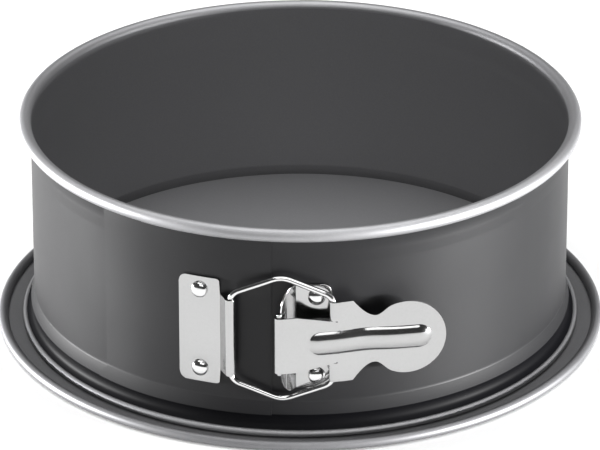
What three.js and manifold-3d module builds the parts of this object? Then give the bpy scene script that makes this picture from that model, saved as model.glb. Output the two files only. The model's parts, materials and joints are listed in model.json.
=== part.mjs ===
// Springform pan: a flat base with a raised baking disc, a split hoop and an over-centre
// lever latch. Millimetres, +Z up. The origin is on the pan's axis, in the plane of the base's
// underside; the latch faces -Y.
import * as THREE from 'three';
import { mergeVertices } from 'three/addons/utils/BufferGeometryUtils.js';
import Module from 'manifold-3d';

const wasm = await Module();
wasm.setup();

// ---- driving dimensions -----------------------------------------------------------------
const WALL_R = 100;          // outer radius of the hoop's wall
const PAN_H = 83.25;         // height of the rolled top rim above the table
const SHEET = 0.5;           // hoop sheet
const GAP = 0.3;             // clearance between pieces that touch
const SEGMENTS = 72;         // facets round the pan

const RIM_R = 2.35;          // rolled top rim, tube radius
const SWAGE_DROP = 12.75;    // the step under the rim, below the top
const SWAGE = 0.25;          // how far the collar above it stands out
const CREASE_Z = 13.9;       // where the skirt starts to flare
const BAND_FLARE = 1.3;      // how far the skirt's band flares
const BAND_Z = 8.6;          // lower edge of the band
const BEAD_R = 1.25;         // rolled bottom bead, tube radius
const BEAD_OUT = 3.4;        // bead centre outside the wall

const BASE_SHEET = 0.7;      // base sheet
const DISC_Z = 10.7;         // top of the baking disc
const DISC_GAP = 0.6;        // between the disc's edge and the wall inside
const CHANNEL_W = 11.8;      // wall to the centre of the base's rolled rim
const BASE_RIM_R = 1.8;      // base's rolled rim, tube radius

// Places round the wall are lengths along it from the front, positive to the right.
const LAP_START = -57.9;     // the two halves' rims meet here
const LAP_END = -10.1;       // the outer sheet's free edge
const SKIN_DROP = 5.35;      // top of the lapped sheet, below the top

const LATCH_Z = 40.2;        // height of the latch's middle
const PLATE = 0.7;           // latch sheet
const WIRE_R = 1.1;          // bail wire
const PIVOT_IN = WIRE_R + GAP;   // inside radius of each curl
const CURL_SHEET = 0.6;          // sheet of the parts that curl
const RIVET_R = 3.1;         // rivet head
const RIVET_H = 1.6;
const SHANK_R = 1.5;
const RIVET_PITCH = 31.4;    // between a plate's two rivets

const ANCHOR_MID = -36.4;
const ANCHOR_W = 15.7;
const ANCHOR_H = 42;
const BRACKET_MID = 4.9;
const BRACKET_W = 12.8;
const BRACKET_H = 41.4;
const BRACKET_RIVET = 5.9;

const BAR_C_AT = -24.2;      // bail's bar in the anchor's knuckle
const BAR_C_OUT = 4.0;       // its distance from the wall
const BAIL_LENGTH = 37;      // bar to bar
const BAIL_TURN = -4.35;     // degrees: the closed bail's direction in plan
const BAIL_APEX = 24.6;      // half height at the apexes
const BAIL_END = 17.2;       // half height at the bars
const KNUCKLE_H = 30.3;

const LEVER_ARM = 19.6;      // hinge to the bail's far bar
const LEVER_TURN = 10.3;     // degrees: the closed lever's direction in plan
const LEVER_LENGTH = 60.2;   // hinge to the tip
const HEAD_R = 14.2;         // thumb end
const WAIST_HALF = 9.3;
const WAIST_AT = 34.7;       // from the hinge
const WAIST_DIP = 1.0;       // how far the waist bows toward the wall
const SHOULDER_HALF = 15.8;
const SHOULDER_AT = 26.5;
const TONGUE_HALF = 10.9;
const TONGUE_ROOT = 7.9;
const TAB_IN = 8.3;          // tabs' inner edge
const TAB_WRAP = 60;         // degrees of curl past the bar's front
const RIB_START = 10;
const RIB_HALF = 4.4;
const RIB_H = 1.5;
const HINGE_PIN_R = PIVOT_IN - 0.4;
const SLOT_HALF = TONGUE_HALF + 0.5;

// ---- places worked out from them --------------------------------------------------------
const deg = THREE.MathUtils.degToRad;
const turnOf = (length) => THREE.MathUtils.radToDeg(length / WALL_R);
const LAP_START_DEG = turnOf(LAP_START);
const LAP_END_DEG = turnOf(LAP_END);
const ANCHOR_DEG = turnOf(ANCHOR_MID);
const BRACKET_DEG = turnOf(BRACKET_MID);
const BRACKET_RIVET_DEG = turnOf(BRACKET_RIVET);
const BAR_C_DEG = turnOf(BAR_C_AT);
const PIVOT_OUT = PIVOT_IN + CURL_SHEET;
const WALL_IN = WALL_R - SHEET;
const RIM_CENTRE = WALL_IN + SWAGE + RIM_R;
const RIM_Z = PAN_H - RIM_R;
const SWAGE_Z = PAN_H - SWAGE_DROP;
const SKIN_TOP = PAN_H - SKIN_DROP;
const BEAD_CENTRE = WALL_R + BEAD_OUT;
const BEAD_Z = BASE_SHEET + GAP + BEAD_R;
const BASE_RIM_CENTRE = WALL_R + CHANNEL_W;
const SKIN_IN = WALL_R + GAP;
const SKIN_OUT = SKIN_IN + SHEET;
const around = (degrees, r) => new THREE.Vector2(r * Math.sin(deg(degrees)), -r * Math.cos(deg(degrees)));
const toward = (degrees, r) => new THREE.Vector2(r * Math.cos(deg(degrees)), r * Math.sin(deg(degrees)));
const BAR_C = around(BAR_C_DEG, WALL_R + BAR_C_OUT);
const BAR_B = BAR_C.clone().add(toward(BAIL_TURN, BAIL_LENGTH));
const HINGE_A = BAR_B.clone().sub(toward(LEVER_TURN, LEVER_ARM));

// ---- shape helpers ----------------------------------------------------------------------
function solid(geometry) {
  const g = geometry.clone();
  g.deleteAttribute('normal');
  g.deleteAttribute('uv');
  const merged = mergeVertices(g.index ? g.toNonIndexed() : g, 1e-4);
  return new wasm.Manifold(new wasm.Mesh({
    numProp: 3,
    vertProperties: new Float32Array(merged.attributes.position.array),
    triVerts: new Uint32Array(merged.index.array),
  }));
}

function geometryOf(manifold) {
  const mesh = manifold.getMesh();
  const g = new THREE.BufferGeometry();
  g.setAttribute('position', new THREE.BufferAttribute(new Float32Array(mesh.vertProperties), 3));
  g.setIndex(new THREE.BufferAttribute(new Uint32Array(mesh.triVerts), 1));
  const flat = g.toNonIndexed();
  flat.computeVertexNormals();
  return flat;
}

const v2 = (x, y) => new THREE.Vector2(x, y);

// Points on an arc, from one angle to another in degrees.
function arc(cx, cy, r, from, to, steps) {
  return Array.from({ length: steps + 1 }, (_, i) => {
    const a = deg(from + (to - from) * i / steps);
    return v2(cx + r * Math.cos(a), cy + r * Math.sin(a));
  });
}

// A ring whose section (radius, height) closes on itself or on the axis.
function turned(section) {
  const points = section[0].x === 0 ? section : [...section, section[0].clone()];
  return solid(new THREE.LatheGeometry(points, SEGMENTS).rotateX(Math.PI / 2));
}

// A plan outline raised from one height to another.
function raised(outline, low, high) {
  const g = new THREE.ExtrudeGeometry(new THREE.Shape(outline), { depth: high - low, bevelEnabled: false });
  return solid(g.translate(0, 0, low));
}

// A wedge of the plan between two angles round from the front.
function sector(from, to) {
  const steps = Math.ceil((to - from) / 30);
  const rim = Array.from({ length: steps + 1 }, (_, i) => around(from + (to - from) * i / steps, 2 * WALL_R));
  return raised([v2(0, 0), ...rim], -10, PAN_H + 10);
}

// A plan strip of sheet along a path, ends square.
function strip(path, sheet) {
  const side = (sign) => path.map((p, i) => {
    const a = path[Math.max(i - 1, 0)];
    const b = path[Math.min(i + 1, path.length - 1)];
    const along = b.clone().sub(a).normalize();
    return v2(p.x - sign * along.y * sheet / 2, p.y + sign * along.x * sheet / 2);
  });
  const outline = [...side(-1), ...side(1).reverse()];
  return THREE.ShapeUtils.isClockWise(outline) ? outline.reverse() : outline;
}

// Turns a geometry drawn as (sideways, up, outward) so that outward points along a plan direction.
function facing(geometry, at, outDegrees, z) {
  const out = new THREE.Vector3(Math.cos(deg(outDegrees)), Math.sin(deg(outDegrees)), 0);
  const up = new THREE.Vector3(0, 0, 1);
  const basis = new THREE.Matrix4().makeBasis(new THREE.Vector3().crossVectors(up, out), up, out);
  return geometry.clone().applyMatrix4(basis.setPosition(at.x, at.y, z));
}

// An outline in a wall's tangent plane, cut from a shell round the pan's axis.
function wallPlate(outline, middle, rIn, rOut) {
  const ring = turned([v2(rIn, 0), v2(rOut, 0), v2(rOut, PAN_H), v2(rIn, PAN_H)]);
  const block = new THREE.ExtrudeGeometry(outline, { depth: WALL_R, bevelEnabled: false, curveSegments: 5 });
  return ring.intersect(solid(facing(block, around(middle, WALL_R / 2), middle - 90, LATCH_Z)));
}

function roundedPlate(left, right, half, leftR, rightR) {
  const s = new THREE.Shape();
  s.moveTo(left + leftR, -half);
  s.lineTo(right - rightR, -half);
  s.lineTo(right, -half + rightR);
  s.lineTo(right, half - rightR);
  s.lineTo(right - rightR, half);
  s.lineTo(left + leftR, half);
  s.absarc(left + leftR, half - leftR, leftR, Math.PI / 2, Math.PI, false);
  s.absarc(left + leftR, -half + leftR, leftR, Math.PI, 1.5 * Math.PI, false);
  return s;
}

// A round bar standing out from the axis, from one radius to another.
function radialBar(angle, z, r, from, to, sides = 16) {
  const bar = new THREE.CylinderGeometry(r, r, to - from, sides).rotateX(Math.PI / 2);
  return solid(facing(bar.translate(0, 0, (from + to) / 2), v2(0, 0), angle - 90, z));
}

// ---- base -------------------------------------------------------------------------------
function makeBase() {
  const edge = WALL_IN - DISC_GAP;
  const inner = edge - BASE_SHEET;
  const foot = BASE_SHEET + 1.2;
  const rimAngle = 180 + THREE.MathUtils.radToDeg(Math.asin((BASE_RIM_R - BASE_SHEET) / BASE_RIM_R));
  return turned([
    v2(0, DISC_Z), v2(edge - 1, DISC_Z), ...arc(edge - 1, DISC_Z - 1, 1, 60, 0, 2),
    v2(edge, foot), ...arc(edge + 1.2, foot, 1.2, 210, 270, 2),
    ...arc(BASE_RIM_CENTRE, BASE_RIM_R, BASE_RIM_R, rimAngle, -90, 9),
    v2(edge + 1.2, 0), v2(inner + 0.3, 0.6), v2(inner, foot),
    v2(inner, DISC_Z - BASE_SHEET - 0.6), v2(inner - 0.6, DISC_Z - BASE_SHEET), v2(0, DISC_Z - BASE_SHEET),
  ].reverse());
}

// ---- hoop -------------------------------------------------------------------------------
// The hoop's section: rolled bead, skirt, flared band, wall, swage and rolled rim.
function hoopSection() {
  const beadTop = BEAD_Z + 2.6;
  const skirt = WALL_R + 0.9;
  return [
    ...arc(BEAD_CENTRE, BEAD_Z, BEAD_R, 190, 470, 8),
    v2(skirt + 0.5, beadTop - 0.3), v2(skirt, beadTop + 0.8), v2(WALL_R + BAND_FLARE, BAND_Z),
    v2(WALL_R, CREASE_Z), v2(WALL_R, SWAGE_Z - 2), v2(WALL_R + SWAGE, SWAGE_Z + 2),
    v2(WALL_R + SWAGE, RIM_Z - RIM_R + 0.3),
    ...arc(RIM_CENTRE, RIM_Z, RIM_R, -130, 180, 10),
    v2(WALL_IN + SWAGE, SWAGE_Z + 2), v2(WALL_IN, SWAGE_Z - 2), v2(WALL_IN, CREASE_Z),
    v2(WALL_IN + BAND_FLARE, BAND_Z), v2(skirt - SHEET, beadTop + 0.8), v2(skirt - SHEET + 0.2, BEAD_Z + 1.2),
  ];
}

// The lapped sheet that the left half carries over the right half's wall.
function skinSection() {
  return [
    v2(SKIN_IN + BAND_FLARE, BAND_Z + 0.2), v2(SKIN_OUT + BAND_FLARE, BAND_Z + 0.2),
    v2(SKIN_OUT, CREASE_Z), v2(SKIN_OUT, SWAGE_Z - 2),
    v2(SKIN_OUT + SWAGE, SWAGE_Z + 2), v2(SKIN_OUT + SWAGE, SKIN_TOP),
    v2(SKIN_IN + SWAGE, SKIN_TOP), v2(SKIN_IN + SWAGE, SWAGE_Z + 2),
    v2(SKIN_IN, SWAGE_Z - 2), v2(SKIN_IN, CREASE_Z),
  ];
}

function joggleSection() {
  const out = skinSection().slice(1, 6);
  const inward = GAP + SHEET;
  return [
    v2(WALL_IN + BAND_FLARE + 0.1, BAND_Z + 0.2), ...out,
    v2(SKIN_OUT + SWAGE - inward - 0.2, SKIN_TOP), v2(SKIN_OUT + SWAGE - inward - 0.2, SWAGE_Z + 2),
    v2(WALL_IN + 0.1, SWAGE_Z - 2), v2(WALL_IN + 0.1, CREASE_Z),
  ];
}

function holes(angle, from, to) {
  return [-1, 1].map((s) => radialBar(angle, LATCH_Z + s * RIVET_PITCH / 2, SHANK_R + GAP, from, to));
}

const halfGap = turnOf(GAP / 2);

function makeHoopRight() {
  let hoop = turned(hoopSection()).intersect(
    sector(LAP_START_DEG + halfGap, 90).add(sector(89, 180 - halfGap)));
  for (const hole of holes(BRACKET_RIVET_DEG, WALL_IN - 3, WALL_R + 3)) hoop = hoop.subtract(hole);
  return hoop;
}

function makeHoopLeft() {
  const main = turned(hoopSection()).intersect(
    sector(-180 + halfGap, -90).add(sector(-91, LAP_START_DEG - halfGap)));
  const skin = turned(skinSection()).intersect(sector(LAP_START_DEG - 3, LAP_END_DEG));
  const joggle = turned(joggleSection()).intersect(sector(LAP_START_DEG - 3, LAP_START_DEG - halfGap));
  let hoop = main.add(skin).add(joggle);
  for (const hole of holes(ANCHOR_DEG, WALL_R + GAP / 2, SKIN_OUT + 3)) hoop = hoop.subtract(hole);
  return hoop;
}

// ---- latch ------------------------------------------------------------------------------
// A curl of sheet round a pivot: plan path from the tangent at one angle to another.
function curl(centre, from, to, steps) {
  return arc(centre.x, centre.y, (PIVOT_IN + PIVOT_OUT) / 2, from, to, steps);
}

const ANCHOR_IN = SKIN_OUT + GAP;

function makeAnchorPlate() {
  const outline = roundedPlate(-ANCHOR_W / 2, ANCHOR_W / 2, ANCHOR_H / 2, 3, 2);
  let plate = wallPlate(outline, ANCHOR_DEG, ANCHOR_IN, ANCHOR_IN + PLATE);
  for (const hole of holes(ANCHOR_DEG, WALL_R, WALL_R + 6)) plate = plate.subtract(hole);
  const edge = ANCHOR_DEG + turnOf(ANCHOR_W / 2);
  const start = around(edge - 1.2, ANCHOR_IN + PLATE / 2);
  const foot = around(edge - 0.2, ANCHOR_IN + PLATE / 2 + 0.2);
  const out = BAR_C_DEG - 90;
  const knuckle = strip([start, foot, ...curl(BAR_C, out - 75, out + 205, 14)], CURL_SHEET);
  return plate.add(raised(knuckle, LATCH_Z - KNUCKLE_H / 2, LATCH_Z + KNUCKLE_H / 2));
}

function makeBracket() {
  const rIn = WALL_R + GAP;
  const outline = roundedPlate(-BRACKET_W / 2, BRACKET_W / 2, BRACKET_H / 2, 0.5, 3);
  let bracket = wallPlate(outline, BRACKET_DEG, rIn, rIn + PLATE);
  for (const hole of holes(BRACKET_RIVET_DEG, WALL_R, WALL_R + 6)) bracket = bracket.subtract(hole);
  const edge = BRACKET_DEG - turnOf(BRACKET_W / 2);
  const root = around(edge, rIn + PLATE / 2);
  const ear = strip([around(edge + 1, rIn + PLATE / 2), root, HINGE_A.clone()], PLATE);
  const low = raised(ear, LATCH_Z - BRACKET_H / 2, LATCH_Z + BRACKET_H / 2);
  // The ear's corners round off toward the hinge pin, and a slot in it takes the lever's curl.
  const span = HINGE_A.distanceTo(root);
  const taper = new THREE.Shape([v2(1, -BRACKET_H / 2), v2(1, BRACKET_H / 2)]);
  taper.lineTo(-0.3 * span, BRACKET_H / 2);
  taper.quadraticCurveTo(-0.62 * span, BRACKET_H / 2, -span, SLOT_HALF + 2);
  taper.lineTo(-span - 1, SLOT_HALF + 1);
  taper.lineTo(-span - 1, -SLOT_HALF - 1);
  taper.lineTo(-span, -SLOT_HALF - 2);
  taper.quadraticCurveTo(-0.62 * span, -BRACKET_H / 2, -0.3 * span, -BRACKET_H / 2);
  const earOut = THREE.MathUtils.radToDeg(Math.atan2(HINGE_A.y - root.y, HINGE_A.x - root.x));
  const block = new THREE.ExtrudeGeometry(taper, { depth: 12, curveSegments: 6, bevelEnabled: false })
    .translate(0, 0, -6);
  const tapered = low.intersect(solid(facing(block, root, earOut + 90, LATCH_Z)));
  const slot = solid(new THREE.CylinderGeometry(PIVOT_OUT + 1, PIVOT_OUT + 1, 2 * SLOT_HALF, 24)
    .rotateX(Math.PI / 2).translate(HINGE_A.x, HINGE_A.y, LATCH_Z));
  const pin = solid(new THREE.CylinderGeometry(HINGE_PIN_R, HINGE_PIN_R, 2 * SLOT_HALF + 4, 16)
    .rotateX(Math.PI / 2).translate(HINGE_A.x, HINGE_A.y, LATCH_Z));
  return bracket.add(tapered.subtract(slot)).add(pin);
}

function makeBail() {
  const along = toward(BAIL_TURN, 1);
  const place = (u, z) => new THREE.Vector3(BAR_C.x + u * along.x, BAR_C.y + u * along.y, LATCH_Z + z);
  const bend = 4;
  // Half of the loop, above or below the middle: up one bar, over the apex, down the other.
  const half = (sign) => {
    const corners = [[0, BAIL_END], [BAIL_LENGTH / 2, BAIL_APEX], [BAIL_LENGTH, BAIL_END]]
      .map(([u, z]) => place(u, sign * z));
    const path = new THREE.CurvePath();
    let from = place(0, -sign * 0.5);
    const last = place(BAIL_LENGTH, -sign * 0.5);
    corners.forEach((corner, i) => {
      const next = corners[i + 1] ?? last;
      const before = corner.clone().add(from.clone().sub(corner).setLength(bend));
      const after = corner.clone().add(next.clone().sub(corner).setLength(bend));
      path.add(new THREE.LineCurve3(from, before));
      path.add(new THREE.QuadraticBezierCurve3(before, corner, after));
      from = after;
    });
    path.add(new THREE.LineCurve3(from, last));
    const section = new THREE.Shape(arc(0, 0, WIRE_R, 0, 330, 11));
    return solid(new THREE.ExtrudeGeometry(section, { steps: 40, bevelEnabled: false, extrudePath: path }));
  };
  return half(1).add(half(-1));
}

// The lever's own frame: u along it from the hinge, w outward, z up from the latch's middle.
const leverAt = (u, w) => HINGE_A.clone().add(toward(LEVER_TURN, u)).add(toward(LEVER_TURN - 90, w));
const LEVER_W = (PIVOT_IN + PIVOT_OUT) / 2;
const bow = (u) => LEVER_W - WAIST_DIP * Math.exp(-(((u - WAIST_AT + 3) / 7) ** 2));

function leverOutline() {
  const headU = LEVER_LENGTH - HEAD_R;
  const upper = [
    v2(-PIVOT_OUT - 1, TONGUE_HALF), v2(6, TONGUE_HALF), v2(LEVER_ARM + 2, TONGUE_ROOT),
    v2(LEVER_ARM + 2, SHOULDER_HALF), v2(SHOULDER_AT, SHOULDER_HALF),
    v2(SHOULDER_AT + 2, SHOULDER_HALF - 2.4), v2(WAIST_AT - 3.4, WAIST_HALF + 1.1), v2(WAIST_AT, WAIST_HALF),
    v2(WAIST_AT + 2.2, WAIST_HALF + 0.6),
    ...arc(headU, 0, HEAD_R, 122, 0, 9),
  ];
  const lower = upper.slice(0, -1).reverse().map((p) => v2(p.x, -p.y));
  return new THREE.Shape([...upper, ...lower].reverse());
}

function makeLever() {
  const start = LEVER_TURN - 90;
  const run = Array.from({ length: 16 }, (_, i) => {
    const u = (LEVER_LENGTH + 2) * (i + 1) / 16;
    return leverAt(u, bow(u));
  });
  const sheet = strip([...curl(HINGE_A, start - 290, start, 16), ...run], CURL_SHEET);
  const blank = raised(sheet, LATCH_Z - 2 * HEAD_R, LATCH_Z + 2 * HEAD_R);
  const cutter = new THREE.ExtrudeGeometry(leverOutline(), { depth: 16, bevelEnabled: false }).translate(0, 0, -8);
  let lever = blank.intersect(solid(facing(cutter, HINGE_A, start, LATCH_Z)));
  // Two tabs hook over the bail's bar, open toward the wall.
  const hook = strip([
    leverAt(LEVER_ARM + 3.5, bow(LEVER_ARM + 3.5)), leverAt(LEVER_ARM + 1.5, LEVER_W),
    ...curl(BAR_B, start, start - TAB_WRAP, 6)], CURL_SHEET);
  for (const s of [-1, 1]) {
    const [low, high] = [s * TAB_IN, s * SHOULDER_HALF].sort((a, b) => a - b);
    lever = lever.add(raised(hook, LATCH_Z + low, LATCH_Z + high));
  }
  // The stiffening rib: a long round-ended pad raised from the sheet.
  const ribEnd = LEVER_LENGTH - 5.4;
  const ribPath = Array.from({ length: 13 }, (_, i) => {
    const u = RIB_START + (ribEnd - RIB_START) * i / 12;
    return leverAt(u, bow(u) + RIB_H / 2);
  });
  const ribPlan = new THREE.Shape([
    ...arc(ribEnd - RIB_HALF, 0, RIB_HALF, -90, 90, 8), ...arc(RIB_START + RIB_HALF, 0, RIB_HALF, 90, 270, 8)]);
  const ribCutter = new THREE.ExtrudeGeometry(ribPlan, { depth: 16, bevelEnabled: false }).translate(0, 0, -8);
  const rib = raised(strip(ribPath, RIB_H), LATCH_Z - 2 * RIB_HALF, LATCH_Z + 2 * RIB_HALF)
    .intersect(solid(facing(ribCutter, HINGE_A, start, LATCH_Z)));
  return lever.add(rib);
}

// A domed rivet: head outside, shank through the plate and the wall, and an inner head if asked.
function makeRivet(angle, z, plateOut, shankFrom, innerHead) {
  const headFrom = plateOut + GAP;
  const dome = Array.from({ length: 6 }, (_, i) => {
    const a = deg(90 * i / 5);
    return v2(RIVET_R * Math.cos(a), RIVET_H * Math.sin(a));
  });
  const head = new THREE.LatheGeometry([v2(0, 0), ...dome.slice(0, -1), v2(0, RIVET_H)], 16)
    .rotateX(Math.PI / 2).translate(0, 0, headFrom);
  let rivet = solid(facing(head, v2(0, 0), angle - 90, z));
  rivet = rivet.add(radialBar(angle, z, SHANK_R, shankFrom, headFrom + 0.2));
  if (innerHead) rivet = rivet.add(radialBar(angle, z, SHANK_R + 1, shankFrom - 0.6, shankFrom + 0.1));
  return rivet;
}

// ---- assembly ---------------------------------------------------------------------------
const coating = () => new THREE.MeshStandardMaterial({ color: '#55575a', roughness: 0.42, metalness: 0.6 });
const grey = () => new THREE.MeshStandardMaterial({ color: '#77797c', roughness: 0.45, metalness: 0.6 });
const steel = () => new THREE.MeshStandardMaterial({ color: '#d7d9da', roughness: 0.15, metalness: 1 });

const pan = new THREE.Group();
function addPart(name, manifold, material) {
  const mesh = new THREE.Mesh(geometryOf(manifold), material);
  mesh.name = name;
  pan.add(mesh);
}

addPart('base', makeBase(), grey());
addPart('hoop_right', makeHoopRight(), coating());
addPart('hoop_left', makeHoopLeft(), coating());
addPart('anchor_plate', makeAnchorPlate(), steel());
addPart('catch_bracket', makeBracket(), steel());
addPart('bail', makeBail(), steel());
addPart('lever', makeLever(), steel());
for (const [name, s] of [['upper', 1], ['lower', -1]]) {
  const z = LATCH_Z + s * RIVET_PITCH / 2;
  addPart(`anchor_rivet_${name}`,
    makeRivet(ANCHOR_DEG, z, ANCHOR_IN + PLATE, SKIN_IN + 0.1, false), steel());
  addPart(`bracket_rivet_${name}`,
    makeRivet(BRACKET_RIVET_DEG, z, WALL_R + GAP + PLATE, WALL_IN - GAP, true), steel());
}

export default pan;
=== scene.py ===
# %% [markdown]
# # A springform pan, modelled around its working frame
#
# A springform pan is a split hoop that clamps round a flat base. A lever latch pulls the hoop's two
# ends together. The frame below already holds the pan's moving bodies at their real places, so each
# piece made here is only drawn where it belongs and told which body it rides on.

# %% Load the frame
import json
import math

import bmesh
import bpy
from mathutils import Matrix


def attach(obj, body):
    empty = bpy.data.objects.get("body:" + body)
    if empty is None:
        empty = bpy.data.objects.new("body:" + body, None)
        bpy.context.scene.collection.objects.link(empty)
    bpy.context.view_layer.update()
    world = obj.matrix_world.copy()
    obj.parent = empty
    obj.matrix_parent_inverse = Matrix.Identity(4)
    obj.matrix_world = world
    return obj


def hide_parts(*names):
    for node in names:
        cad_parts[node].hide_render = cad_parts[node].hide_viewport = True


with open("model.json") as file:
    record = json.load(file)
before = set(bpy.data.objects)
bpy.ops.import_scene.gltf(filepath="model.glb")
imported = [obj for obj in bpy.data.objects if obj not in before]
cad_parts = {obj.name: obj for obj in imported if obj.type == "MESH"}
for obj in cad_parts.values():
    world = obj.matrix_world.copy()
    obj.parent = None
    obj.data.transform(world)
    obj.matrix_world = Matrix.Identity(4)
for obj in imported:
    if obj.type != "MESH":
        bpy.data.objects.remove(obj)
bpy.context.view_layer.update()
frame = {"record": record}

# %% [markdown]
# ## Driving sizes
#
# Sheet work is drawn in millimetres and turned to metres when a vertex is placed. The pan is turned
# round the Z axis, and a direction round it is an angle in degrees, 0 at the front where the latch
# is and positive to the right. The pivots are read from the frame, so a latch piece always turns on
# the same line as its joint.

# %% Sizes, pivots and small helpers
MM = 0.001
WALL_R = 100.0
SHEET = 0.5
PAN_H = 83.25
RIM_R = 2.35
LAP_START = -33.2
LAP_END = -5.8
LATCH_Z = 40.2
LATCH_SHEET = 0.6
WIRE_R = 1.1
CURL_R = 1.7
RIVET_PITCH = 31.4
ANCHOR_DEG = -20.85
BRACKET_DEG = 3.38

joints = {j["name"]: j for j in frame["record"]["behaviour"]["joints"]}


def pivot(joint):
    x, y, _ = joints[joint]["pos_m"]
    return (x / MM, y / MM)


def around(degrees, radius):
    a = math.radians(degrees)
    return (radius * math.sin(a), -radius * math.cos(a))


def step_from(point, degrees, distance):
    a = math.radians(degrees)
    return (point[0] + distance * math.cos(a), point[1] + distance * math.sin(a))


def arc(centre, radius, start, end, steps):
    return [step_from(centre, start + (end - start) * i / steps, radius) for i in range(steps + 1)]


HINGE = pivot("lever_swing")
KNUCKLE = pivot("bail_swing")
BAIL_TURN = -4.35
BAIL_LENGTH = 37.0
LEVER_TURN = 10.3
FAR_BAR = step_from(KNUCKLE, BAIL_TURN, BAIL_LENGTH)
print("lever hinge at", [round(v, 2) for v in HINGE], "mm")
print("bail's far bar at", [round(v, 2) for v in FAR_BAR], "mm")

# %% [markdown]
# ## Finishes
#
# The hoop and base are steel with a baked-on non-stick coating: a dark grey film full of fine mica
# that gives it a soft metallic sheen. It is darker and duller outside than inside. The recess under
# the flared band carries painted shade: a near-black, dull copy of the coating. The rolled edges
# carry a painted sheen: the same coating drawn paler and more metallic, for the highlights their
# tight curves catch. The latch is bright nickel-plated steel. One function turns a hex colour to
# linear light and one adds a node with its settings and links, so each finish stays a short recipe.

# %% Material helpers
GLOSS_PATCH = 35.0
GRAIN_DEEP = 0.02


def linear(hex_colour):
    parts = [int(hex_colour[i:i + 2], 16) / 255 for i in (1, 3, 5)]
    return tuple(c / 12.92 if c <= 0.04045 else ((c + 0.055) / 1.055) ** 2.4 for c in parts) + (1.0,)


def add_node(material, kind, settings=(), links=()):
    tree = material.node_tree
    new = tree.nodes.new(kind)
    for key, value in dict(settings).items():
        if key in new.inputs:
            new.inputs[key].default_value = value
        else:
            setattr(new, key, value)
    for key, source in dict(links).items():
        tree.links.new(source, new.inputs[key])
    return new


def per_mm(size):
    """Noise scale that puts one feature about every so many millimetres."""
    return 1 / (size * MM)


def finish(name, colour, deep, metallic, roughness, spread=0.03, grain=0.5, bump=0.25, gleam=0.5):
    """A coated or plated metal: two tones mixed by fine grain, uneven gloss and a faint bump.

    spread is how far the roughness varies, grain is in millimetres, gleam is the specular level.
    """
    material = bpy.data.materials.new(name)
    material.use_nodes = True
    tree = material.node_tree
    shader = tree.nodes["Principled BSDF"]
    shader.inputs["Metallic"].default_value = metallic
    shader.inputs["Specular IOR Level"].default_value = gleam
    place = add_node(material, "ShaderNodeTexCoord").outputs["Object"]
    fine = add_node(material, "ShaderNodeTexNoise",
                    {"Scale": per_mm(grain), "Detail": 3.0}, {"Vector": place})
    broad = add_node(material, "ShaderNodeTexNoise",
                     {"Scale": per_mm(GLOSS_PATCH), "Detail": 2.0}, {"Vector": place})
    tone = add_node(material, "ShaderNodeMix", {"data_type": "RGBA"})
    mix, dark_side, light_side, mixed = tone.inputs[0], tone.inputs[6], tone.inputs[7], tone.outputs[2]
    dark_side.default_value = linear(deep)
    light_side.default_value = linear(colour)
    tree.links.new(fine.outputs["Fac"], mix)
    tree.links.new(mixed, shader.inputs["Base Color"])
    gloss = add_node(material, "ShaderNodeMapRange",
                     {"From Min": 0.3, "From Max": 0.7,
                      "To Min": roughness - spread, "To Max": roughness + spread},
                     {"Value": broad.outputs["Fac"]})
    tree.links.new(gloss.outputs["Result"], shader.inputs["Roughness"])
    relief = add_node(material, "ShaderNodeBump", {"Strength": bump, "Distance": GRAIN_DEEP * MM},
                      {"Height": fine.outputs["Fac"]})
    tree.links.new(relief.outputs["Normal"], shader.inputs["Normal"])
    return material


# %% [markdown]
# The grain of a real coating is about 0.05 mm, too fine to show, so it is drawn at 0.5 mm.

# %% The finishes
outside_coating = finish("dark_outer_coating", "#121214", "#0c0c0e", 0.1, 0.46, gleam=0.32)
band_coating = finish("dark_band_coating", "#121214", "#0c0c0e", 0.0, 0.62, gleam=0.22)
# Painted shade: the recess under the flared band is drawn near-black and dull, standing in for its shadow.
recess_painted_shade = finish("recess_painted_shade_coating", "#08080a", "#040406", 0.0, 0.5, spread=0.04, gleam=0.06)
inside_coating = finish("non_stick_mica_coating", "#78787a", "#6a6a6c", 0.2, 0.42)
base_coating = finish("non_stick_base_coating", "#828284", "#747476", 0.4, 0.38)
# Painted sheen: rolled rim, bead and base edge drawn paler and more metallic for the highlights they catch.
rim_painted_sheen = finish("rolled_edge_painted_sheen", "#959597", "#89898b", 0.75, 0.52, bump=0.2)
base_rim_painted_sheen = finish("base_edge_painted_sheen", "#7c7c7e", "#707072", 0.75, 0.52, bump=0.2)
nickel_sheet = finish("nickel_plated_sheet", "#b8b8b8", "#b0b0b0", 1.0, 0.13, grain=0.8, bump=0.08)
nickel_wire = finish("nickel_plated_wire", "#e2e2e2", "#d6d6d6", 1.0, 0.1, 0.02, grain=0.8, bump=0.05)
nickel_rivet = finish("nickel_plated_rivet", "#e4e4e4", "#dcdcdc", 1.0, 0.1, 0.02, grain=0.8, bump=0.05)
print("finishes:", len(bpy.data.materials))

# %% [markdown]
# ## Turned sheet: hoop and base
#
# A real hoop is a strip rolled to a ring and a base is pressed from a disc, but both are the same all
# the way round. So each is drawn as a closed section and spun about the pan's axis. A circle is
# added, its points are slid onto the section, and Spin turns it. A boolean of cylinders would also
# work, but it would not give the flared skirt or the rolled edges in one smooth run.

# %% Spin a section


def deselect():
    if bpy.context.object and bpy.context.object.mode != "OBJECT":
        bpy.ops.object.mode_set(mode="OBJECT")
    bpy.ops.object.select_all(action="DESELECT")


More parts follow.
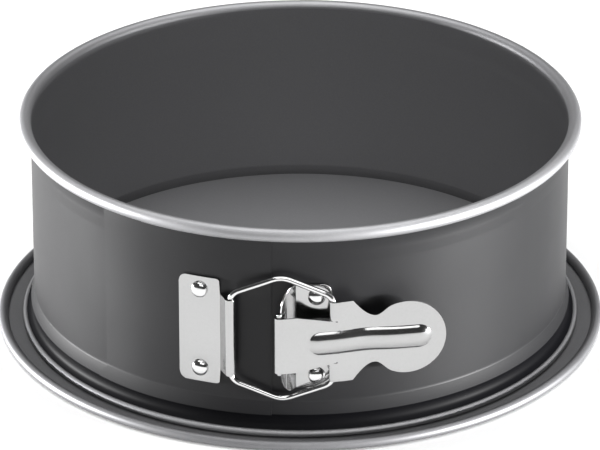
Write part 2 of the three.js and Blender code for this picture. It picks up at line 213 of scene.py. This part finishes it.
def spun(name, section, start, end, steps):
    """A closed section (radius, height) in millimetres spun between two directions."""
    deselect()
    bpy.ops.mesh.primitive_circle_add(vertices=len(section), radius=1)
    piece = bpy.context.object
    piece.name = name
    for vertex, (radius, height) in zip(piece.data.vertices, section):
        x, y = around(start, radius)
        vertex.co = (x * MM, y * MM, height * MM)
    bpy.ops.object.mode_set(mode="EDIT")
    bpy.ops.mesh.select_all(action="SELECT")
    turn = math.radians(end - start)
    bpy.ops.mesh.spin(steps=steps, angle=turn, center=(0, 0, 0), axis=(0, 0, -1))
    bpy.ops.mesh.select_all(action="SELECT")
    bpy.ops.mesh.remove_doubles(threshold=0.00001)
    bpy.ops.object.mode_set(mode="OBJECT")
    close_ends(piece)
    return piece


def close_ends(piece):
    """Fills each open loop with one face, then points every face outward."""
    shape = bmesh.new()
    shape.from_mesh(piece.data)
    open_edges = [e for e in shape.edges if len(e.link_faces) == 1]
    if open_edges:
        bmesh.ops.holes_fill(shape, edges=open_edges, sides=0)
    bmesh.ops.recalc_face_normals(shape, faces=shape.faces)
    shape.to_mesh(piece.data)
    shape.free()


def smooth(piece, degrees=40):
    deselect()
    piece.select_set(True)
    bpy.context.view_layer.objects.active = piece
    bpy.ops.object.shade_smooth_by_angle(angle=math.radians(degrees))


def paint(piece, *materials, rule=None):
    """The first finish all over, or the one that a rule picks for each face."""
    piece.data.materials.clear()
    for material in materials:
        piece.data.materials.append(material)
    for face in piece.data.polygons:
        x, y, z = face.center
        radius = math.hypot(x, y)
        outward = (face.normal.x * x + face.normal.y * y) / radius if radius else 0
        face.material_index = rule(radius / MM, z / MM, outward) if rule else 0


def join(name, pieces):
    deselect()
    for piece in pieces:
        piece.select_set(True)
    bpy.context.view_layer.objects.active = pieces[0]
    bpy.ops.object.join()
    pieces[0].name = name
    return pieces[0]


def bend(points, radius, steps=5):
    """Rounds the corners of a closed outline."""
    rounded = []
    for i, corner in enumerate(points):
        before, after = points[i - 1], points[(i + 1) % len(points)]
        reach = []
        for other in (before, after):
            length = math.dist(corner, other)
            cut = min(radius, 0.45 * length)
            reach.append([c + (o - c) * cut / length for c, o in zip(corner, other)])
        for k in range(steps + 1):
            t = k / steps
            rounded.append(tuple(
                (1 - t) ** 2 * a + 2 * t * (1 - t) * c + t * t * b
                for a, c, b in zip(reach[0], corner, reach[1])))
    return rounded


# %% [markdown]
# ### The base
#
# The base is one sheet. Its middle is pressed up into a flat baking disc that the hoop grips, a
# channel round it catches drips, and its outer edge is rolled for stiffness.

# %% Make the base
DISC_Z = 10.7
DISC_R = WALL_R - SHEET - 0.6
BASE_SHEET = 0.7
BASE_RIM_R = 1.8
BASE_RIM = (WALL_R + 11.8, BASE_RIM_R)
AXIS_HOLE = 0.02
BASE_STEPS = 256
channel_end = BASE_RIM[0] - 3
upper = [(AXIS_HOLE, DISC_Z), (DISC_R, DISC_Z), (DISC_R, BASE_SHEET), (channel_end, BASE_SHEET)]
under = [(channel_end, 0), (DISC_R - BASE_SHEET, 0), (DISC_R - BASE_SHEET, DISC_Z - BASE_SHEET),
         (AXIS_HOLE, DISC_Z - BASE_SHEET)]
middle_corners = slice(6, 18)


def base_finish(radius, height, outward):
    """1, the painted sheen, on the rolled edge; 0 on the rest."""
    return int(radius > BASE_RIM[0] - BASE_RIM_R - 0.1)


base_section = [upper[0], *bend(upper, 1.1)[middle_corners], *arc(BASE_RIM, BASE_RIM_R, 218, -90, 22),
                under[0], *bend(under, 0.8)[middle_corners], under[-1]]
base = spun("base_pan", base_section, 0, 360, BASE_STEPS)
paint(base, base_coating, base_rim_painted_sheen, rule=base_finish)
smooth(base, 35)
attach(base, "base")
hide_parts("base")
print("base section points:", len(base_section))

# %% [markdown]
# ### The hoop
#
# The hoop's section is a bead at the bottom, a flared skirt, the wall, a small step under the rim
# and the rolled rim. The strip's two ends lap behind the latch. The right end runs on inside, with
# its own rim and bead; the left end is only wall there and lies over it, bulging outward by a
# sheet's thickness. The two halves turn on a line at the back of the rim, where they meet edge to
# edge. Their rolled edges differ by a hair in radius, so that they never lie exactly level.

# %% The hoop's section, and its right half
SWAGE = 0.25
SWAGE_Z = PAN_H - 12.75
CREASE_Z = 13.9
BAND_Z = 8.6
BAND_FLARE = 1.3
SKIRT_R = WALL_R + 0.9
BEAD = (WALL_R + 3.4, 2.25)
BEAD_R = 1.25
HAIR = 0.06


def hoop_section(rim_r):
    inner = WALL_R - SHEET
    rim = (inner + SWAGE + RIM_R, PAN_H - RIM_R)
    outside = [
        (SKIRT_R + 0.7, 4.3), (SKIRT_R + 0.15, 5.4), (SKIRT_R, 6.6), (SKIRT_R + 0.1, 7.9),
        (WALL_R + BAND_FLARE - 0.1, BAND_Z - 0.15), (WALL_R + BAND_FLARE, BAND_Z + 0.25),
        (WALL_R + 0.1, CREASE_Z - 0.5), (WALL_R, CREASE_Z), (WALL_R, CREASE_Z + 0.5),
        (WALL_R, SWAGE_Z - 2.2), (WALL_R + 0.03, SWAGE_Z - 1.6), (WALL_R + SWAGE - 0.03, SWAGE_Z + 1.6),
        (WALL_R + SWAGE, SWAGE_Z + 2.2), (WALL_R + SWAGE, rim[1] - RIM_R + 0.3)]
    inside = [
        (inner + SWAGE, SWAGE_Z + 2.2), (inner + SWAGE - 0.03, SWAGE_Z + 1.6), (inner + 0.03, SWAGE_Z - 1.6),
        (inner, SWAGE_Z - 2.2), (inner, CREASE_Z + 0.5), (inner, CREASE_Z), (inner + 0.1, CREASE_Z - 0.5),
        (inner + BAND_FLARE, BAND_Z + 0.2), (SKIRT_R - SHEET + 0.1, 7.8), (SKIRT_R - SHEET, 6.6),
        (SKIRT_R - SHEET + 0.2, 5.0), (SKIRT_R + 0.2, 3.8)]
    return arc(BEAD, BEAD_R, 175, 470, 16) + outside + arc(rim, rim_r, -133, 180, 22) + inside


def hoop_finish(radius, height, outward):
    """0 outside, 1 inside, 2 painted sheen on rim and bead, 3 painted shade in recess, 4 flared band."""
    if height > PAN_H - 2 * RIM_R - 0.1 or (radius > SKIRT_R + 1 and height < 3.8):
        return 2
    if outward < -0.3:
        return 1
    if height < BAND_Z + 0.1:
        return 3
    return 4 if height < CREASE_Z - 0.3 else 0


hoop_finishes = (outside_coating, inside_coating, rim_painted_sheen, recess_painted_shade, band_coating)
right_half = spun("hoop_right_half", hoop_section(RIM_R + HAIR), LAP_START, 180, 220)
paint(right_half, *hoop_finishes, rule=hoop_finish)
smooth(right_half)
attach(right_half, "ring_right")
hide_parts("hoop_right")
print("right half faces:", len(right_half.data.polygons))

# %% [markdown]
# The left half is its own length of hoop, the outer sheet of the lap, and a narrow cover. The outer
# sheet starts sunk in the wall and rises out of it before the lap, as a joggled sheet does. The cover
# lies inside the sheet at the back and keeps the joint there closed when the hoop springs open.

# %% Make the left half
left_main = spun("hoop_left_main", hoop_section(RIM_R - HAIR), -180, LAP_START, 150)
JOGGLE_START = -50.0
SKIN_SINK = 0.5
SKIN_TOP = PAN_H - 5.25
skin_in = WALL_R + 0.05
skin_out = WALL_R + 0.38
skin_section = [
    (skin_in + BAND_FLARE + 0.05, BAND_Z + 0.05), (skin_out + BAND_FLARE - 0.03, BAND_Z - 0.1),
    (skin_out + BAND_FLARE + 0.07, BAND_Z + 0.3), (skin_out + 0.04, CREASE_Z - 0.3),
    (skin_out, CREASE_Z + 0.6), (skin_out, SWAGE_Z - 2), (skin_out + SWAGE, SWAGE_Z + 2),
    (skin_out + SWAGE, SKIN_TOP), (skin_in + SWAGE, SKIN_TOP), (skin_in + SWAGE, SWAGE_Z + 2),
    (skin_in, SWAGE_Z - 2), (skin_in, CREASE_Z + 0.2)]
left_skin = spun("hoop_left_skin", skin_section, JOGGLE_START, LAP_END, 88)
for vertex in left_skin.data.vertices:
    direction = math.degrees(math.atan2(vertex.co.x, -vertex.co.y))
    t = min(max((direction - JOGGLE_START) / (LAP_START - JOGGLE_START), 0), 1)
    sink = SKIN_SINK * (1 - t * t * (3 - 2 * t)) * MM
    radius = math.hypot(vertex.co.x, vertex.co.y)
    vertex.co.x *= 1 - sink / radius
    vertex.co.y *= 1 - sink / radius
cover_r = WALL_R - HAIR
cover_out = [(cover_r + BAND_FLARE, BAND_Z + 0.6), (cover_r, CREASE_Z), (cover_r, SWAGE_Z - 2.2),
             (cover_r + SWAGE, SWAGE_Z + 2.2), (cover_r + SWAGE, SKIN_TOP)]
cover_in = [(radius - SHEET + 2 * HAIR, height) for radius, height in reversed(cover_out)]
seam_cover = spun("hoop_left_cover", cover_out + cover_in, -180.6, -179.4, 4)
left_half = join("hoop_left_half", [left_main, left_skin, seam_cover])
paint(left_half, *hoop_finishes, rule=hoop_finish)
smooth(left_half)
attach(left_half, "ring_left")
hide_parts("hoop_left")
print("left half faces:", len(left_half.data.polygons))

# %% [markdown]
# ## Pressed sheet: the latch
#
# The anchor plate, the bracket and the lever are all blanks cut from sheet and bent. Each is drawn
# as it is made: a grid is laid along the bent line seen from above, its rows are spread to the
# blank's outline, ribs and dimples push it outward or inward, and Solidify gives it the sheet's
# thickness. A bevel rounds the cut edge, which is what catches the light on real pressings.

# %% Bend a blank
CUT_EDGE = 0.14
DIMPLE_R = 4.3
DIMPLE_DEEP = 0.28


def pressed(name, line, spans, rows, relief=None):
    """A blank along a plan line. spans gives its lower and upper edge at each point of the line."""
    deselect()
    bpy.ops.mesh.primitive_grid_add(x_subdivisions=len(line) - 1, y_subdivisions=rows, size=2)
    piece = bpy.context.object
    piece.name = name
    for vertex in piece.data.vertices:
        i = round((vertex.co.x + 1) / 2 * (len(line) - 1))
        share = (vertex.co.y + 1) / 2
        before, after = line[max(i - 1, 0)], line[min(i + 1, len(line) - 1)]
        length = math.dist(before, after)
        outward = ((after[1] - before[1]) / length, -(after[0] - before[0]) / length)
        low, high = spans[i]
        z = low + (high - low) * share
        push = relief(line[i], z) if relief else 0
        vertex.co = ((line[i][0] + outward[0] * push) * MM, (line[i][1] + outward[1] * push) * MM,
                     (LATCH_Z + z) * MM)
    thicken = piece.modifiers.new("sheet", "SOLIDIFY")
    thicken.thickness = LATCH_SHEET * MM
    thicken.offset = 0
    round_off = piece.modifiers.new("cut_edge", "BEVEL")
    round_off.width = CUT_EDGE * MM
    round_off.segments = 2
    round_off.limit_method = "ANGLE"
    round_off.angle_limit = math.radians(60)
    for modifier in ("sheet", "cut_edge"):
        bpy.ops.object.modifier_apply(modifier=modifier)
    close_ends(piece)
    return piece


def even(points, step=0.4):
    """Points added along a line so that none are further apart than a step."""
    line = [points[0]]
    for a, b in zip(points, points[1:]):
        count = max(1, math.ceil(math.dist(a, b) / step))
        line += [tuple(p + (q - p) * k / count for p, q in zip(a, b)) for k in range(1, count + 1)]
    return line


def dimples(direction):
    """A shallow dish under each of a plate's two rivets."""
    centres = [around(direction, WALL_R + 1) + (s * RIVET_PITCH / 2,) for s in (-1, 1)]
    return lambda at, z: -sum(
        DIMPLE_DEEP * math.exp(-(math.dist((*at, z), c) / DIMPLE_R) ** 4) for c in centres)


def corner(distance, half, radius):
    """Half height of a plate near its rounded corner."""
    if distance >= radius:
        return half
    return half - radius + math.sqrt(max(radius ** 2 - (radius - distance) ** 2, 0))


# %% [markdown]
# ### Anchor plate
#
# The plate follows the wall and its free edge steps out and curls round the bail, like a door's
# knuckle. The curl is shorter than the plate so the wire can bend away above and below it.

# %% Make the anchor plate
PLATE_R = WALL_R + 0.95
ANCHOR_HALF = 21.0
ANCHOR_W = 15.7
KNUCKLE_HALF = 15.15
half_turn = math.degrees(ANCHOR_W / 2 / WALL_R)
plate_line = [around(ANCHOR_DEG - half_turn + 2 * half_turn * i / 40, PLATE_R) for i in range(41)]
CURL_FROM = -181.85
CURL_TO = 111.15
curl = arc(KNUCKLE, CURL_R, CURL_FROM, CURL_TO, 44)
riser = even([plate_line[-1], curl[0]], 0.35)[1:-1]
anchor_line = plate_line + riser + curl
anchor_half = [corner(ANCHOR_W * i / 40, ANCHOR_HALF, 3.0) if i < 20
               else corner(ANCHOR_W * (40 - i) / 40, ANCHOR_HALF, 1.8) for i in range(41)]
anchor_half[-1] = KNUCKLE_HALF
anchor_half += [KNUCKLE_HALF] * (len(riser) + len(curl))
anchor = pressed("anchor_plate_pressing", anchor_line, [(-h, h) for h in anchor_half], 90,
                 dimples(ANCHOR_DEG))
paint(anchor, nickel_sheet)
smooth(anchor, 45)
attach(anchor, "ring_left")
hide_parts("anchor_plate")
blank_length = sum(math.dist(a, b) for a, b in zip(anchor_line, anchor_line[1:]))
print("anchor blank length:", round(blank_length, 1), "mm")

# %% [markdown]
# ### Catch bracket
#
# The bracket is riveted to the other end of the hoop. Its free edge is bent out as an ear with a
# slot through it; the strip of metal outside the slot is the pin that the lever turns on.

# %% Make the catch bracket
BRACKET_R = WALL_R + 0.65
BRACKET_HALF = 20.7
SLOT_HALF = 11.4
PIN_HALF = 12.2
PIN_R = 1.0
BRACKET_W = 12.8
BRACKET_MID = 2.8
SLOT_W = 3.2
BRACKET_STEPS = 32


def bracket_at(length):
    """A point on the plate, at a length along it from the bend."""
    return around(BRACKET_MID + math.degrees((length - BRACKET_W / 2) / WALL_R), BRACKET_R)


root = bracket_at(0)
slot_reach = SLOT_W / math.dist(HINGE, root)
slot_end = tuple(h + (r - h) * slot_reach for h, r in zip(HINGE, root))


def ear_half(point):
    """Half height of the ear: full near the bend, then rounded off toward the pin."""
    share = math.dist(point, root) / math.dist(HINGE, root)
    drop = min(1, max(0, share - 0.3) / 0.6)
    return PIN_HALF + (BRACKET_HALF - PIN_HALF) * math.sqrt(1 - drop ** 1.6)


ear_line = even([slot_end, root])
lengths = [BRACKET_W * i / BRACKET_STEPS for i in range(1, BRACKET_STEPS + 1)]
wall_line = [bracket_at(length) for length in lengths]
wall_half = [corner(BRACKET_W - length, BRACKET_HALF, 3.0) for length in lengths]
blank = pressed("bracket_blank", ear_line + wall_line,
                [(-ear_half(p), ear_half(p)) for p in ear_line] + [(-h, h) for h in wall_half], 80,
                dimples(BRACKET_DEG))
arm_line = even([HINGE, slot_end])
arms = []
for side in (-1, 1):
    spans = [tuple(sorted((side * SLOT_HALF, side * ear_half(p)))) for p in arm_line]
    arms.append(pressed("bracket_arm", arm_line, spans, 6))
deselect()
bpy.ops.mesh.primitive_cylinder_add(vertices=32, radius=PIN_R * MM, depth=2 * PIN_HALF * MM,
                                    location=(HINGE[0] * MM, HINGE[1] * MM, LATCH_Z * MM))
pin = bpy.context.object
pin_ends = pin.modifiers.new("ends", "BEVEL")
pin_ends.width = 0.3 * MM
pin_ends.segments = 3
bpy.ops.object.modifier_apply(modifier="ends")
bpy.ops.object.transform_apply(location=True, rotation=True, scale=True)
bracket = join("catch_bracket_pressing", [blank, *arms, pin])
paint(bracket, nickel_sheet)
smooth(bracket, 45)
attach(bracket, "ring_right")
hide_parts("catch_bracket")
print("bracket slot:", 2 * SLOT_HALF, "mm tall")

# %% [markdown]
# ### Lever
#
# The lever's narrow tongue passes through the bail and curls round the bracket's strip. Two tabs
# beside it hook over the bail's far bar, and the round thumb end has a rib pressed along it so that
# the thin sheet doesn't fold when it is pulled.

# %% The lever's outline and relief
LEVER_LENGTH = 60.2
HEAD_R = 14.2
HEAD_AT = LEVER_LENGTH - HEAD_R
TONGUE_HALF = 10.9
TONGUE_ROOT = 7.9
TAB_HALF = 15.8
TAB_IN = 8.3
TAB_AT = 19.6
SLIT_END = TAB_AT + 2
SHOULDER_END = 26.4
WAIST_AT = 34.7
WAIST_HALF = 9.3
HEAD_START = 40.5
RIB = (14.6, 50.4)
RIB_HALF = 4.4
RIB_H = 1.45
TONGUE_WRAP = 290
TAB_WRAP = 62


def lever_at(u, w):
    return step_from(step_from(HINGE, LEVER_TURN, u), LEVER_TURN - 90, w)


def bow(u):
    """How far the sheet's middle lies outside the hinge line: the waist bows toward the wall."""
    return CURL_R - math.exp(-((u - WAIST_AT + 3) / 7) ** 2)


def eased(u, start, end, start_slope, end_slope):
    """A smooth curve between two points that leaves and arrives at the given slopes."""
    length = end[0] - start[0]
    t = (u - start[0]) / length
    return ((2 * t ** 3 - 3 * t ** 2 + 1) * start[1] + (t ** 3 - 2 * t ** 2 + t) * length * start_slope
            + (3 * t ** 2 - 2 * t ** 3) * end[1] + (t ** 3 - t ** 2) * length * end_slope)


def lever_half(u):
    if u < 6:
        return TONGUE_HALF
    if u < SLIT_END - 1:
        return TONGUE_HALF + (TONGUE_ROOT - TONGUE_HALF) * (u - 6) / (TAB_AT - 4)
    if u < SLIT_END:
        return eased(u, (SLIT_END - 1, TONGUE_ROOT), (SLIT_END, TAB_HALF), 0, 0)
    if u < SHOULDER_END:
        return TAB_HALF
    if u < WAIST_AT:
        return eased(u, (SHOULDER_END, TAB_HALF), (WAIST_AT, WAIST_HALF), -1.3, 0)
    if u < HEAD_START:
        end = math.sqrt(HEAD_R ** 2 - (HEAD_AT - HEAD_START) ** 2)
        return eased(u, (WAIST_AT, WAIST_HALF), (HEAD_START, end), 0, (HEAD_AT - HEAD_START) / end)
    return math.sqrt(max(HEAD_R ** 2 - (u - HEAD_AT) ** 2, 0.04))


def lever_relief(at, z):
    """The rib: a rounded ridge with round ends, pressed outward."""
    dx, dy = at[0] - HINGE[0], at[1] - HINGE[1]
    turn = math.radians(LEVER_TURN)
    u = dx * math.cos(turn) + dy * math.sin(turn)
    off = math.hypot(u - min(max(u, RIB[0]), RIB[1]), z)
    return RIB_H * max(0, 1 - (off / RIB_HALF) ** 2) ** 0.85


print("lever half height at the waist:", lever_half(WAIST_AT), "mm")

# %% [markdown]
# The blank's stations are closer together where the slits beside the tongue end and round the tip,
# where the outline turns fastest. Each tab is a strip that runs in under the shoulder.

# %% Make the lever
tongue_start = LEVER_TURN - 90
stations = [0.4 * i for i in range(1, 51)] + [SLIT_END - 1 + 0.1 * i for i in range(11)]
stations += [SLIT_END + 0.4 * i for i in range(1, 84)]
stations = [u for u in stations if u < LEVER_LENGTH - 4.5]
stations += [LEVER_LENGTH - 4.3 * (1 - math.sin(math.pi / 2 * i / 18)) for i in range(19)]
tongue_curl = arc(HINGE, CURL_R, tongue_start - TONGUE_WRAP, tongue_start, 44)
lever_line = tongue_curl + [lever_at(u, bow(u)) for u in stations]
lever_halves = [TONGUE_HALF] * len(tongue_curl) + [lever_half(u) for u in stations]
lever_blank = pressed("lever_blank", lever_line, [(-h, h) for h in lever_halves], 72, lever_relief)
hook_line = list(reversed(arc(FAR_BAR, CURL_R, tongue_start, tongue_start - TAB_WRAP, 18)))
hook_line += even([lever_at(TAB_AT, CURL_R), lever_at(TAB_AT + 3.4, bow(TAB_AT + 3.4) - 0.04)])[1:]
tabs = [pressed("lever_tab", hook_line, [tuple(sorted((s * TAB_IN, s * TAB_HALF)))] * len(hook_line), 10)
        for s in (-1, 1)]
lever = join("lever_pressing", [lever_blank, *tabs])
paint(lever, nickel_sheet)
smooth(lever, 40)
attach(lever, "lever")
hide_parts("lever")
print("lever faces:", len(lever.data.polygons))

# %% [markdown]
# ### Bail
#
# The bail is a closed loop of wire with six bends. A curve with a round bevel draws it, and it is
# turned to a mesh, because the finished piece has to carry its own shape.

# %% Make the bail
BAIL_END = 17.2
BAIL_APEX = 24.6
BAIL_BEND = 3.6
corners = [(0, -BAIL_END), (0, BAIL_END), (BAIL_LENGTH / 2, BAIL_APEX), (BAIL_LENGTH, BAIL_END),
           (BAIL_LENGTH, -BAIL_END), (BAIL_LENGTH / 2, -BAIL_APEX)]
loop = bend(corners, BAIL_BEND, 8)
path = bpy.data.curves.new("bail_path", "CURVE")
path.dimensions = "3D"
path.bevel_depth = WIRE_R * MM
path.bevel_resolution = 7
run = path.splines.new("POLY")
run.points.add(len(loop) - 1)
run.use_cyclic_u = True
for point, (along, up) in zip(run.points, loop):
    x, y = step_from(KNUCKLE, BAIL_TURN, along)
    point.co = (x * MM, y * MM, (LATCH_Z + up) * MM, 1)
bail = bpy.data.objects.new("bail_wire", path)
bpy.context.scene.collection.objects.link(bail)
deselect()
bail.select_set(True)
bpy.context.view_layer.objects.active = bail
bpy.ops.object.convert(target="MESH")
bail = bpy.context.object
close_ends(bail)
paint(bail, nickel_wire)
smooth(bail, 60)
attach(bail, "bail")
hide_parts("bail")
print("wire length:", round(sum(math.dist(a, b) for a, b in zip(loop, loop[1:] + loop[:1])), 1), "mm")

# %% [markdown]
# ### Rivets
#
# A rivet's head is a low dome. One section is spun into a rivet standing on the origin, and each
# copy is turned to face out of the wall at its own place, with its own mesh.

# %% Make the rivets
RIVET_R = 3.1
RIVET_H = 1.9
SHANK_R = 1.5
DOME_FOOT = 0.25
dome = [(RIVET_R * math.cos(math.radians(a)), DOME_FOOT + (RIVET_H - DOME_FOOT) * math.sin(math.radians(a)))
        for a in range(0, 90, 9)]


def rivet(name, direction, z, foot, head, body):
    """A rivet with its shank from one radius to the head's seat, and a domed head outside."""
    depth = foot - head
    centre = AXIS_HOLE / 2
    section = [(centre, depth), (SHANK_R, depth), (SHANK_R, 0), (RIVET_R - 0.12, 0), *dome,
               (centre, RIVET_H)]
    piece = spun(name, section, 0, 360, 48)
    a = math.radians(direction)
    for vertex in piece.data.vertices:
        side, up, outward = vertex.co.x, vertex.co.y, vertex.co.z + head * MM
        vertex.co = (side * math.cos(a) + outward * math.sin(a),
                     side * math.sin(a) - outward * math.cos(a), up + z * MM)
    close_ends(piece)
    paint(piece, nickel_rivet)
    smooth(piece, 50)
    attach(piece, body)
    return piece


for word, side in (("upper", 1), ("lower", -1)):
    height = LATCH_Z + side * RIVET_PITCH / 2
    one = rivet(f"anchor_rivet_head_{word}", ANCHOR_DEG, height, WALL_R + 0.1,
                PLATE_R + 0.05, "ring_left")
    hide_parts(f"anchor_rivet_{word}")
    two = rivet(f"bracket_rivet_head_{word}", BRACKET_DEG, height, WALL_R - 1.1,
                BRACKET_R + 0.05, "ring_right")
    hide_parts(f"bracket_rivet_{word}")
print("rivets: 4")

# %% [markdown]
# ## Floor, light and camera
#
# Bright metal shows what it reflects, so the floor is pale and wide. One large soft panel hangs
# overhead and another in front, high up, and two long low ones stand at the sides, which makes the
# wall brighten toward its sides. The rest of the space stays dim, which gives the plated pieces
# their dark lines.

# %% Stage
deselect()
bpy.ops.mesh.primitive_plane_add(size=12, location=(0, 0, -0.0002))
floor = bpy.context.object
floor.name = "studio_floor"
floor_paint = bpy.data.materials.new("studio_floor_paint")
floor_paint.use_nodes = True
floor_paint.node_tree.nodes["Principled BSDF"].inputs["Base Color"].default_value = linear("#f4f4f4")
floor_paint.node_tree.nodes["Principled BSDF"].inputs["Roughness"].default_value = 0.9
floor.data.materials.append(floor_paint)


def softbox(name, place, aim, width, height, power):
    lamp = bpy.data.lights.new(name, "AREA")
    lamp.shape = "RECTANGLE"
    lamp.size = width
    lamp.size_y = height
    lamp.energy = power
    holder = bpy.data.objects.new(name, lamp)
    holder.location = place
    toward = [a - p for a, p in zip(aim, place)]
    flat = math.hypot(toward[0], toward[1])
    holder.rotation_euler = (math.atan2(flat, -toward[2]), 0, math.atan2(-toward[0], toward[1]))
    bpy.context.scene.collection.objects.link(holder)


softbox("overhead_panel", (0, 0.1, 1.1), (0, 0, 0), 1.3, 1.1, 17)
softbox("front_panel", (0, -1.5, 1.35), (0, 0, 0), 1.5, 0.8, 10)
softbox("left_panel", (-1.25, 0.1, 0.055), (0, 0, 0.03), 0.5, 0.11, 66)
softbox("right_panel", (1.12, -0.5, 0.055), (0, 0, 0.03), 0.45, 0.11, 60)

world = bpy.data.worlds.new("studio_surround")
world.use_nodes = True
world.node_tree.nodes["Background"].inputs["Color"].default_value = (1, 1, 1, 1)
world.node_tree.nodes["Background"].inputs["Strength"].default_value = 0.06
bpy.context.scene.world = world

ELEVATION = math.radians(25.81)
DISTANCE = 1.953
TARGET_Z = 0.0357
lens = bpy.data.cameras.new("view")
lens.lens = 312.4
lens.sensor_width = 36
camera = bpy.data.objects.new("view", lens)
camera.location = (0, -DISTANCE * math.cos(ELEVATION), TARGET_Z + DISTANCE * math.sin(ELEVATION))
camera.rotation_euler = (math.pi / 2 - ELEVATION, 0, 0)
bpy.context.scene.collection.objects.link(camera)
bpy.context.scene.camera = camera
bpy.context.scene.view_settings.view_transform = "Standard"
